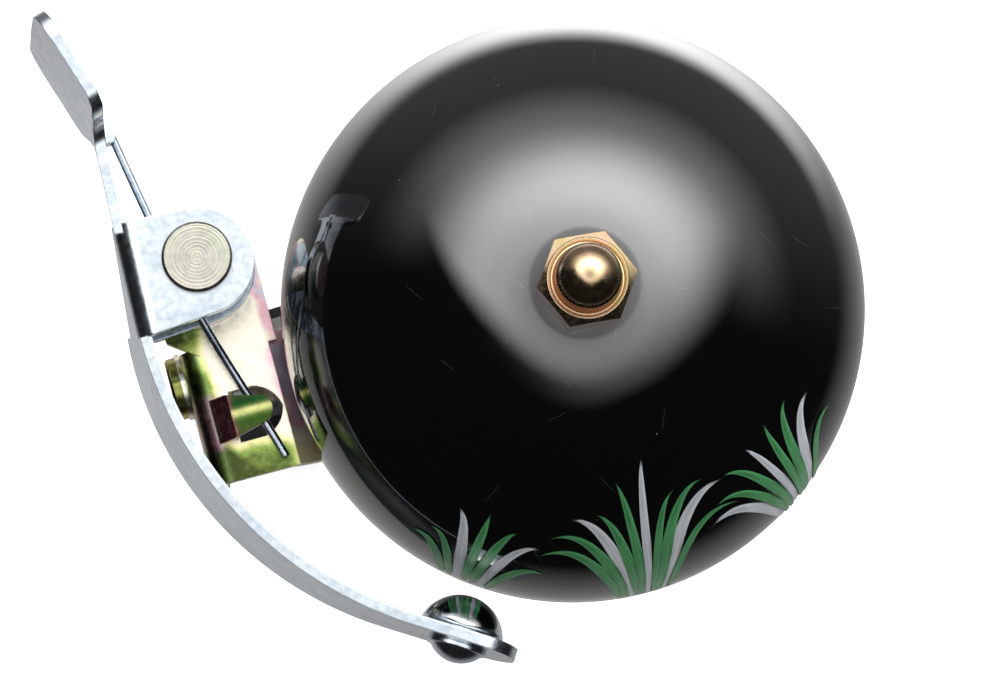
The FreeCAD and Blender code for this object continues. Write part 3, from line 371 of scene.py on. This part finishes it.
def fibre():
    """Dark red pressed fibre, in thin layers across its height."""
    material, net, shader = new_material("pressed_fibre")
    where = net.place_mm()
    x, y, z = net.split(where)
    strand = net.noise(net.join(net.mul(x, 2.0), net.mul(y, 2.0), net.mul(z, 14.0)), 1.0, 4.0, 0.7)
    colour = net.mix(net.step(strand, 0.35, 0.65), (0.20, 0.035, 0.02), (0.42, 0.10, 0.06))
    fill(net, shader, Base_Color=colour, Roughness=0.7, Normal=net.bump(strand, 0.04 * MM))
    return material


def brush_paint(name, thin, thick, cover, dry):
    """Hand-brushed paint on a stroke: bristle streaks along it, feathered sides and a dry tip."""
    material, net, shader = new_material(name)
    uv = net.new("ShaderNodeUVMap", uv_map="stroke").outputs[0]
    along, across, _ = net.split(uv)
    where = net.place_mm()
    centred = net.math("ABSOLUTE", net.sub(across, 0.5))
    seed = net.mul(net.noise(where, 0.03, 0.0), 3.0)
    bristles = net.join(net.mul(along, 2.2), net.add(net.mul(across, 9.0), seed), 0.0)
    streak = net.noise(bristles, 1.0, 4.0, 0.65)
    fine = net.noise(net.join(net.mul(along, 5.0), net.mul(across, 34.0), 1.0), 1.0, 3.0, 0.7)
    body = net.add(net.mul(streak, 0.65), net.mul(fine, 0.35))
    side = net.step(centred, 0.5, 0.36)
    tip = net.step(along, 1.0, 0.72)
    wet = net.sub(net.add(body, net.mul(side, 0.42)), net.mul(net.sub(1.0, tip), dry))
    mask = net.mul(net.step(wet, 0.46, 0.70), cover)
    tone = net.step(body, 0.36, 0.62)
    fill(net, shader, Base_Color=net.mix(tone, thin, thick), Roughness=0.3, IOR=1.45,
         Normal=net.bump(body, 0.03 * MM), Alpha=mask)
    return material


# ---------------------------------------------------------------- where things are
# The dome's section in mm, heights from its rim: a skirt, a shoulder arc and a crown arc.
DOME_R = (dome_high.x - home.x) / MM
SKIRT = 3.0
SHOULDER_R = 20.0
WALL = 1.2
CROWN_R = 29.03
APEX = 27.0
SHOULDER_U = DOME_R - SHOULDER_R
CROWN_Z = APEX - CROWN_R
JOIN = math.asin((SHOULDER_U * CROWN_R / (CROWN_R - SHOULDER_R)) / CROWN_R)
CROWN_RUN = CROWN_R * JOIN
SHOULDER_RUN = SHOULDER_R * (math.pi / 2 - JOIN)
SEAT_Z = (dome_high.z - home.z) / MM
pivot = Vector(frame["joints"][0]["pos_m"])
BRACKET_TURN = math.radians(15.0)


def dome_section(run, inset=0.0):
    """(radius, height) on the dome after a run over its surface from the apex, in mm."""
    if run < CROWN_RUN:
        tilt = run / CROWN_R
        reach = CROWN_R - inset
        return reach * math.sin(tilt), CROWN_Z + reach * math.cos(tilt)
    if run < CROWN_RUN + SHOULDER_RUN:
        tilt = JOIN + (run - CROWN_RUN) / SHOULDER_R
        reach = SHOULDER_R - inset
        return SHOULDER_U + reach * math.sin(tilt), SKIRT + reach * math.cos(tilt)
    down = run - CROWN_RUN - SHOULDER_RUN
    return DOME_R - inset, SKIRT - down


def on_dome(x, y, lift):
    """Point over a place (x, y) on the dome's surface rolled out flat from the apex, in mm."""
    run = math.hypot(x, y)
    radius, height = dome_section(run, -lift)
    share = radius / run if run > 1e-6 else 0.0
    return home + Vector((x * share, y * share, height)) * MM


# ---------------------------------------------------------------- meshes
def mesh_object(name, vertices, faces, material):
    """New smooth-shaded piece that rides the bell's frame."""
    mesh = bpy.data.meshes.new(name)
    mesh.from_pydata(vertices, [], faces)
    mesh.update()
    shown = bpy.data.objects.new(name, mesh)
    scene.collection.objects.link(shown)
    mesh.materials.append(material)
    mesh.shade_smooth()
    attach(shown, BASE)
    return shown


def spoke(radius, height, angle):
    """Point at a radius, height and angle round the dome's axis, in mm from its rim."""
    return home + Vector((radius * math.cos(angle), radius * math.sin(angle), height)) * MM


def turned(name, profile, count, material, sharp_degrees):
    """Closed solid of revolution about Z from a closed (radius, height) profile in mm."""
    vertices = []
    for turn in range(count):
        angle = math.tau * turn / count
        vertices += [spoke(radius, height, angle) for radius, height in profile]
    rows = len(profile)
    faces = []
    for turn in range(count):
        here = turn * rows
        there = ((turn + 1) % count) * rows
        for row in range(rows):
            after = (row + 1) % rows
            faces.append((here + row, there + row, there + after, here + after))
    shown = mesh_object(name, vertices, faces, material)
    shown.data.set_sharp_from_angle(angle=math.radians(sharp_degrees))
    return shown


def build_dome(material):
    """The dome again, as one finely turned shell with rounded rim edges."""
    seat_radius, inner_seat_radius = 4.9, 5.2
    hole_radius = 2.6
    rim_round = 0.35
    outer_steps, inner_steps, rim_steps, turns = 96, 48, 6, 288
    full_run = CROWN_RUN + SHOULDER_RUN + SKIRT

    def wall(start_radius, steps, inset):
        start = CROWN_R * math.asin(start_radius / CROWN_R)
        return [dome_section(start + (full_run - rim_round - start) * index / steps, inset)
                for index in range(steps + 1)]

    def rounding(centre, quarter):
        turns_here = [math.pi / 2 * (quarter + index / rim_steps) for index in range(1, rim_steps)]
        return [(centre + rim_round * math.cos(turn), rim_round - rim_round * math.sin(turn))
                for turn in turns_here]

    outer = wall(seat_radius, outer_steps, 0.0)
    inner = wall(inner_seat_radius, inner_steps, WALL)
    outside = DOME_R - rim_round
    inside = DOME_R - WALL + rim_round
    rim = rounding(outside, 0) + [(outside, 0.0), (inside, 0.0)] + rounding(inside, 1)
    profile = [(hole_radius, SEAT_Z - WALL), (hole_radius, SEAT_Z)] + outer + rim + inner[::-1]
    shell = turned("dome_shell", profile, turns, material, 30.0)
    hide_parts("dome")


def build_cap_nut(material):
    """The cap nut again, with a rolled bead and a groove turned round the foot of its ball."""
    apothem, corner_angle, turn_on_post = 4.0, math.radians(60), math.radians(10)
    ring, top = 3.75, 4.2
    bore, bore_top = 2.5, 5.6
    neck, ball = 2.86, 2.98
    centre = 9.5 - ball
    ball_start, ball_sweep, ball_steps = -16.3, 106.3, 22
    foot_bevel = 0.1
    count = 16 * 6
    chamfer = math.tan(math.radians(30))
    bead = [(3.73, 4.30), (3.64, 4.37), (3.52, 4.36), (3.43, 4.26), (3.37, 4.13)]
    groove = [(3.30, 4.09), (3.19, 4.12), (3.07, 4.24)]
    fillet = [(2.96, 4.43), (2.89, 4.68), (neck, 4.95)]
    crown = []
    for step in range(1, ball_steps + 1):
        turn = math.radians(ball_start + ball_sweep * step / ball_steps)
        crown.append((ball * math.cos(turn), centre + ball * math.sin(turn)))
    vertices = []
    for index in range(count):
        from_corner = math.tau * index / count
        reach = apothem / math.cos(from_corner % corner_angle - corner_angle / 2)
        hexagon = [(0.0, bore_top), (bore, bore_top), (bore, 0.0), (apothem - foot_bevel, 0.0),
                   (reach, (reach - apothem + foot_bevel) * chamfer),
                   (reach, top - (reach - ring) * chamfer), (ring, top)]
        profile = hexagon + bead + groove + fillet + [(neck, centre - 0.84)] + crown
        vertices += [spoke(radius, height + SEAT_Z, from_corner + turn_on_post)
                     for radius, height in profile]
    rows = len(profile)
    faces = []
    for index in range(count):
        here = index * rows
        there = ((index + 1) % count) * rows
        for row in range(rows - 1):
            faces.append((here + row, there + row, there + row + 1, here + row + 1))
    nut = mesh_object("cap_nut_turned", vertices, faces, material)
    work = bmesh.new()
    work.from_mesh(nut.data)
    bmesh.ops.remove_doubles(work, verts=work.verts, dist=1e-7)
    bmesh.ops.recalc_face_normals(work, faces=work.faces)
    work.to_mesh(nut.data)
    work.free()
    nut.data.set_sharp_from_angle(angle=math.radians(28))
    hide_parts("cap_nut")


def bezier(points, share):
    """Point on a Bezier curve of any order."""
    while len(points) > 1:
        points = [a.lerp(b, share) for a, b in zip(points, points[1:])]
    return points[0]


class Strokes:
    """Painted strokes gathered into one mesh of thin closed ribbons on the dome."""

    ROWS = 44
    COLUMNS = 7
    THICKNESS = 0.05
    NEXT_LIFT = 0.0035
    THINNEST = 0.06

    def __init__(self, name, lift):
        self.name = name
        self.lift = lift
        self.vertices = []
        self.faces = []
        self.coords = []

    def stroke(self, points, width, start, belly):
        """Ribbon along a Bezier curve; start is its share of width at the foot, belly its peak."""
        rows, columns = self.ROWS, self.COLUMNS
        first = len(self.vertices)
        self.lift += self.NEXT_LIFT
        for row in range(rows + 1):
            along = row / rows
            centre = bezier(points, along)
            ahead = bezier(points, min(along + 0.01, 1.0)) - bezier(points, max(along - 0.01, 0.0))
            side = Vector((-ahead.y, ahead.x)).normalized()
            if along < belly:
                swell = start + (1 - start) * math.sin(math.pi / 2 * along / belly)
            else:
                swell = math.cos(math.pi / 2 * (along - belly) / (1 - belly)) ** 0.9
            half = width / 2 * max(swell, self.THINNEST)
            for lift in (self.lift, self.lift - self.THICKNESS):
                for column in range(columns + 1):
                    across = column / columns
                    spot = centre + side * half * (2 * across - 1)
                    self.vertices.append(on_dome(spot.x, spot.y, lift))
                    self.coords.append((along, across))
        span = columns + 1
        ring = span * 2
        for row in range(rows):
            here = first + row * ring
            there = here + ring
            for column in range(columns):
                self.faces.append((here + column, here + column + 1,
                                   there + column + 1, there + column))
                low = here + span + column
                low_next = there + span + column
                self.faces.append((low, low_next, low_next + 1, low + 1))
            self.faces.append((here, there, there + span, here + span))
            self.faces.append((here + columns, here + span + columns,
                               there + span + columns, there + columns))
        for here, flip in ((first, False), (first + rows * ring, True)):
            for column in range(columns):
                face = (here + column, here + span + column,
                        here + span + column + 1, here + column + 1)
                self.faces.append(face[::-1] if flip else face)

    def finish(self, material):
        shown = mesh_object(self.name, self.vertices, self.faces, material)
        layer = shown.data.uv_layers.new(name="stroke")
        for loop in shown.data.loops:
            layer.data[loop.index].uv = self.coords[loop.vertex_index]


def grass_tuft(green, grey, degrees, count, reach):
    """A plain tuft of slim blades: upright in the middle, arching over at the sides."""
    tuft_half = 3.2
    foot_run = CROWN_RUN + SHOULDER_RUN - 1.0
    inward = Vector((-math.cos(math.radians(degrees)), -math.sin(math.radians(degrees))))
    side = Vector((-inward.y, inward.x))
    for index in range(count):
        share = 2 * index / (count - 1) - 1
        long = reach * (1 - 0.30 * abs(share)) * random.uniform(0.82, 1.10)
        foot = inward * -foot_run + side * share * tuft_half
        low_bow = foot + inward * long * 0.45 + side * share * 0.4
        high_bow = foot + inward * long * 0.85 + side * share * long * 0.16
        tip = foot + inward * long * (0.97 - 0.20 * abs(share)) + side * share * long * 0.46
        brush = grey if index % 3 == 1 else green
        brush.stroke([foot, low_bow, high_bow, tip], random.uniform(1.0, 1.6), 0.5, 0.3)


def paint_motif():
    """Plain brushed grass tufts along the lower rim, in green and grey."""
    random.seed(11)
    grey = Strokes("painted_grey_blades", 0.035)
    green = Strokes("painted_green_blades", 0.095)
    for degrees, count, reach in ((-112.0, 7, 17.0), (-76.0, 10, 25.0), (-40.0, 8, 20.0)):
        grass_tuft(green, grey, degrees, count, reach)
    grey.finish(brush_paint("grey_brushwork", (0.26, 0.28, 0.30), (0.58, 0.61, 0.64), 0.88, 0.5))
    green.finish(brush_paint("green_brushwork", (0.008, 0.07, 0.018), (0.075, 0.31, 0.115),
                             1.0, 0.4))


def bend_wire(material):
    """The spring wire as a mesh with a ring every half millimetre."""
    source = frame["nodes"]["spring_wire"]
    mesh = source.data.copy()
    wire = bpy.data.objects.new("spring_wire_bent", mesh)
    scene.collection.objects.link(wire)
    work = bmesh.new()
    work.from_mesh(mesh)
    bmesh.ops.remove_doubles(work, verts=work.verts, dist=1e-7)
    low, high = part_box("spring_wire")
    count = 64
    for index in range(1, count):
        level = low.y + (high.y - low.y) * index / count
        bmesh.ops.bisect_plane(work, geom=work.verts[:] + work.edges[:] + work.faces[:],
                               plane_co=(0, level, 0), plane_no=(0, 1, 0), dist=1e-8)
    work.to_mesh(mesh)
    work.free()
    mesh.materials.clear()
    mesh.materials.append(material)
    mesh.shade_smooth()
    mesh.set_sharp_from_angle(angle=math.radians(50))
    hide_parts("spring_wire")
    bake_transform(wire)


# ---------------------------------------------------------------- dress the CAD nodes
def bracket_axes(net, where):
    """Place along the bracket's arm (u), across it (v) and above its top face (z), in mm."""
    x, y, z = net.split(where)
    cosine = math.cos(BRACKET_TURN)
    sine = math.sin(BRACKET_TURN)
    u = net.add(net.mul(x, cosine), net.mul(y, sine))
    v = net.sub(net.mul(y, cosine), net.mul(x, sine))
    return u, v, z


def tongue_tint_and_sheen(net, where, colour):
    """The lanced tongue: dark green over its crown, deepened to near-black as painted shade, with a
    straw streak across it as a painted highlight, and a magenta root.
    """
    u, v, z = bracket_axes(net, where)
    lifted = net.step(z, 0.15, 0.7)
    # Painted shade and a painted highlight: near-black green over the crown with a straw streak
    # across it.
    crown_shade_and_highlight = [(0.0, (0.05, 0.07, 0.02)), (0.35, (0.10, 0.15, 0.04)), (0.55, (0.55, 0.56, 0.22)),
                  (0.7, (0.08, 0.13, 0.04)), (1.0, (0.03, 0.05, 0.02))]
    streak = net.ramp(net.step(v, -3.5, 0.6), crown_shade_and_highlight, "CARDINAL")
    streak = net.mix(net.step(u, -33.0, -34.2), streak, (0.34, 0.10, 0.14))
    off_middle = net.math("ABSOLUTE", net.add(v, 1.5))
    beside = net.mul(net.step(u, -33.2, -35.4), net.step(off_middle, 3.2, 1.8))
    colour = net.mix(net.mul(beside, 0.75), colour, (0.30, 0.16, 0.20))
    return net.mix(lifted, colour, streak)


def joggle_dull(net, where):
    """Extra roughness on the sloping joggle, where the press has stretched the plating."""
    u, _, _ = bracket_axes(net, where)
    return net.step(u, -29.2, -28.2, 0.0, 0.34)


def bracket_lead(net, where):
    """Band over the bracket: cream in the middle of the plate, greens at its bends and foot."""
    u, v, _ = bracket_axes(net, where)
    foot = net.step(v, -2.6, -6.0)
    flange = net.step(u, -33.4, -35.6)
    joggle = net.step(u, -29.6, -27.6)
    band = net.add(0.5, net.add(net.mul(foot, -0.5), net.mul(flange, -0.48)))
    return net.add(band, net.mul(joggle, 0.28))


def dress(node, material):
    shown = frame["nodes"][node]
    shown.data.materials.clear()
    shown.data.materials.append(material)
    shown.data.shade_smooth()
    shown.data.set_sharp_from_angle(angle=math.radians(24))


PLATE_BANDS = [(0.0, OLIVE), (0.12, GREEN), (0.26, STRAW), (0.40, CREAM), (0.60, CREAM),
               (0.74, PINK), (0.86, LILAC), (1.0, (0.85, 0.62, 0.52))]
NUT_BANDS = [(0.0, (0.20, 0.19, 0.07)), (0.35, (0.42, 0.34, 0.17)), (0.6, (0.50, 0.35, 0.23)),
             (0.8, (0.52, 0.30, 0.25)), (1.0, (0.28, 0.25, 0.10))]
RIVET_BANDS = [(0.0, (0.25, 0.31, 0.19)), (0.4, (0.34, 0.37, 0.29)), (0.65, (0.38, 0.35, 0.33)),
               (0.85, (0.30, 0.21, 0.20)), (1.0, (0.13, 0.08, 0.07))]
SCREW_BANDS = [(0.0, (0.03, 0.045, 0.012)), (0.35, (0.14, 0.18, 0.04)), (0.6, (0.42, 0.38, 0.12)),
               (0.8, (0.30, 0.30, 0.10)), (1.0, (0.06, 0.05, 0.03))]

lever_zinc = zinc("lever_zinc")
clamp_zinc = zinc("clamp_zinc", 0.32)
plain_fastener = passivated("fastener_passivate", PLATE_BANDS)
dress("bracket", passivated("bracket_passivate", PLATE_BANDS, 0.24, lead=bracket_lead,
                            patch=tongue_tint_and_sheen, dull=joggle_dull))
dress("pivot_rivet", passivated("rivet_passivate", RIVET_BANDS, 0.3,
                                rings=tuple((pivot - home) / MM)))
dress("clamp_screw", passivated("screw_passivate", SCREW_BANDS, 0.2))
build_cap_nut(passivated("cap_nut_passivate", NUT_BANDS, 0.2, edge=0.08))
dress("lever", lever_zinc)
dress("hammer_rivet", lever_zinc)
dress("hammer_button", polished())
dress("clamp_band", clamp_zinc)
dress("rubber_liner", rubber())
dress("fibre_washer", fibre())
for node in ("centre_post", "post_spring_washer", "post_nut", "pivot_bush", "pivot_washer",
             "clamp_washer", "clamp_spring_washer", "clamp_nut"):
    dress(node, plain_fastener)
build_dome(enamel())
paint_motif()
bend_wire(zinc("wire_zinc", 0.16, tint=(0.40, 0.46, 0.52), deep=(0.16, 0.21, 0.27), edge=0.05,
               grain=0.3))


# ---------------------------------------------------------------- studio
HORIZON_GLOW = 0.014
GLOW_TO = (0.17, 0.985)
SOFTBOX_LEVEL = 6.9
FLOOR_SEEN = 0.7
WORLD_SEEN = 3.0


def toward_light(net, x, y, reach):
    """How squarely (x, y) points the way the light lies, as a smooth step from 0 to 1."""
    along = net.add(net.mul(x, GLOW_TO[0]), net.mul(y, GLOW_TO[1]))
    return net.step(net.math("DIVIDE", along, reach), 0.0, 0.9)


def build_floor():
    """Pale table, brightened evenly for the camera.  Shiny surfaces see a painted glow on it
    instead: a painted pool of light round the bell that fades to dark away from it, as on a lit
    table top.
    """
    table_half, gap_below_bell = 3.0, 0.0003
    material, net, shader = new_material("pale_table")
    where = net.place_mm()
    soft = net.noise(where, 0.003, 2.0)
    fill(net, shader, Base_Color=net.mix(soft, (0.86,) * 3, (0.90,) * 3), Roughness=0.8)
    x, y, _ = net.split(where)
    away = net.vec("LENGTH", net.join(x, y, 0.0))
    # Painted light seen only in reflections: a glowing pool round the bell, brighter far towards
    # +Y, towards -X and towards the light.
    lit = net.step(away, 125.0, 40.0)
    beyond = net.mul(net.step(y, 25.0, 80.0, 0.0, 5.0), net.step(x, -65.0, 5.0, 0.22, 1.0))
    level = net.add(net.add(beyond, 0.40), net.step(x, -10.0, -60.0, 0.0, 0.26))
    toward = toward_light(net, x, y, net.math("MAXIMUM", away, 1.0))
    haze = net.add(net.mul(toward, 0.24), HORIZON_GLOW)
    # The table glows for glossy rays, though it is no lamp.
    seen = net.new("ShaderNodeEmission")
    net.put(seen.inputs["Color"], (1.0, 0.985, 0.97))
    net.put(seen.inputs["Strength"], net.add(net.mul(lit, level), haze))
    light_path = net.new("ShaderNodeLightPath")
    fill(net, shader, Emission_Color=(1.0, 1.0, 1.0),
         Emission_Strength=net.mul(light_path.outputs["Is Camera Ray"], FLOOR_SEEN))
    mixer = net.new("ShaderNodeMixShader")
    net.put(mixer.inputs[0], light_path.outputs["Is Glossy Ray"])
    net.put(mixer.inputs[1], shader.outputs[0])
    net.put(mixer.inputs[2], seen.outputs[0])
    net.tree.links.new(mixer.outputs[0], net.tree.nodes["Material Output"].inputs[0])
    low = cad_low.z - gap_below_bell
    corners = [(x_end * table_half, y_end * table_half, low)
               for x_end, y_end in ((-1, -1), (1, -1), (1, 1), (-1, 1))]
    mesh = bpy.data.meshes.new("table")
    mesh.from_pydata(corners, [], [(0, 1, 2, 3)])
    table = bpy.data.objects.new("table", mesh)
    mesh.materials.append(material)
    scene.collection.objects.link(table)


def softbox(net, x, y, z, tilt):
    """The overhead light: a bell curve towards +Y, dim at the zenith, cut off by a soft wedge."""
    middle_x, full_until_y = 0.15, 0.65
    width_x, width_y = 1.25, 1.05
    point_x, point_y, bluntness = 0.04, -0.58, 0.4
    up = net.math("MAXIMUM", z, 0.05)
    px = net.math("DIVIDE", x, up)
    py = net.math("DIVIDE", y, up)
    across = net.math("DIVIDE", net.sub(px, middle_x), width_x)
    ahead = net.math("DIVIDE", net.math("MAXIMUM", net.sub(py, full_until_y), 0.0), width_y)
    spread = net.add(net.mul(across, across), net.mul(ahead, ahead))
    blob = net.math("EXPONENT", net.mul(spread, -1.0))
    hole = net.grey_ramp(tilt, [(0.0, 0.18), (0.05, 0.19), (0.135, 0.52), (0.19, 0.76),
                                (0.245, 0.97), (0.30, 1.0), (1.0, 1.0)])
    aside = net.sub(px, point_x)
    hinge = net.sub(net.math("SQRT", net.add(net.mul(aside, aside), bluntness ** 2)), bluntness)
    to_right = net.step(px, -0.8, 0.8)
    slope = net.add(net.mul(to_right, -0.35), 1.0)
    wedge = net.sub(net.sub(py, point_y), net.mul(hinge, slope))
    crisp = net.step(wedge, -0.10, 0.30)
    gentle = net.step(wedge, -0.35, 0.85)
    near = net.add(net.mul(gentle, to_right), net.mul(crisp, net.sub(1.0, to_right)))
    return net.mul(net.mul(blob, hole), near)


def build_world():
    """One big overhead softbox and a faint glow low down towards +Y."""
    world = bpy.data.worlds.new("studio")
    world.use_nodes = True
    scene.world = world
    net = Net(world.node_tree)
    x, y, z = net.split(net.new("ShaderNodeTexCoord").outputs["Generated"])
    tilt = net.math("DIVIDE", net.math("ARCCOSINE", z), math.pi)
    tail = net.grey_ramp(tilt, [(0.0, 0.0), (0.26, 0.0), (0.33, 0.09), (0.38, 0.18), (0.44, 0.11),
                                (0.50, 0.035), (0.56, 0.03), (0.62, 0.02), (1.0, 0.0)])
    flat = net.math("MAXIMUM", net.math("SQRT", net.sub(1.0, net.mul(z, z))), 0.01)
    low_glow = net.mul(tail, toward_light(net, x, y, flat))
    light = net.mul(net.add(softbox(net, x, y, z, tilt), low_glow), SOFTBOX_LEVEL)
    strength = net.add(light, HORIZON_GLOW)
    seen = net.mul(net.new("ShaderNodeLightPath").outputs["Is Camera Ray"], WORLD_SEEN)
    background = net.tree.nodes["Background"]
    net.put(background.inputs["Color"], (1.0, 1.0, 1.0))
    net.put(background.inputs["Strength"], net.math("MAXIMUM", seen, strength))


def build_camera():
    """Long lens almost straight above the dome, leaning a little towards -Y and -X."""
    toward = Vector((-0.0366, -0.0952, 1.0)).normalized()
    target = home + Vector((-6.746, -2.752, 0.0)) * MM
    distance = 0.6
    side = Vector((0, 1, 0)).cross(toward).normalized()
    up = toward.cross(side)
    camera = bpy.data.objects.new("camera", bpy.data.cameras.new("camera"))
    camera.data.sensor_width = 36.0
    camera.data.lens = 228.6
    turn = Matrix((side, up, toward)).transposed().to_4x4()
    camera.matrix_world = Matrix.Translation(target + toward * distance) @ turn
    camera.data.clip_start = 0.01
    camera.data.clip_end = 10.0
    scene.collection.objects.link(camera)
    scene.camera = camera


build_floor()
build_world()
build_camera()
scene.view_settings.view_transform = "Standard"
scene.view_settings.look = "None"
